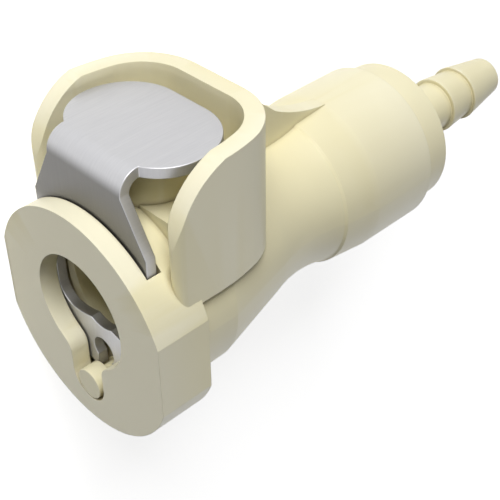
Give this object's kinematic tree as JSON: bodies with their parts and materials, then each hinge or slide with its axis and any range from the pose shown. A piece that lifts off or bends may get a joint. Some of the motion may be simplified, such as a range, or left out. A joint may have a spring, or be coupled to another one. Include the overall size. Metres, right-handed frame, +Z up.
{
  "type": "quick disconnect coupling",
  "caption": "In-line plastic tubing coupling socket: keyhole flange, sprung steel thumb latch in a guard, lock pin, shut-off valve and hose barb.",
  "frame": {"origin": "on the insert bore's axis, in the plane of the flange's front face", "axes": "+Y along the bore towards the hose barb, -X from the bore towards the thumb pad, +Z up: the part lies on the flange's side flat and the back edge of its barrel"},
  "size_m": [0.018, 0.0355, 0.0132],
  "materials": {
    "ivory_acetal": "smooth ivory acetal moulding with a low sheen",
    "stainless_sheet": "bare stainless sheet, fine grain",
    "spring_wire": "drawn stainless wire",
    "seal_rubber": "black seal rubber"
  },
  "bodies": {
    "housing": {"coupling_body": "ivory_acetal", "hose_barb": "ivory_acetal", "barb_seal_ring": "seal_rubber", "latch_spring": "spring_wire", "lock_pin_spring": "spring_wire", "valve_spring": "spring_wire"},
    "latch": {"thumb_latch": "stainless_sheet", "spring_cup": "ivory_acetal"},
    "pin": {"lock_pin": "ivory_acetal"},
    "valve": {"valve_poppet": "ivory_acetal", "valve_seal_ring": "seal_rubber"}
  },
  "joints": [
    {"name": "latch_press", "type": "slide", "parent": "housing", "child": "latch", "axis": [1, 0, 0], "range_m": [0, 0.00185], "stiffness_N_per_m": 600, "springref_m": -0.002, "deforming": ["latch_spring"]},
    {"name": "pin_push", "type": "slide", "parent": "housing", "child": "pin", "axis": [0, 1, 0], "range_m": [0, 0.00015], "stiffness_N_per_m": 300, "springref_m": -0.0015, "deforming": ["lock_pin_spring"]},
    {"name": "valve_push", "type": "slide", "parent": "housing", "child": "valve", "axis": [0, 1, 0], "range_m": [0, 0.0015], "stiffness_N_per_m": 500, "springref_m": -0.0015, "deforming": ["valve_spring"]}
  ]
}
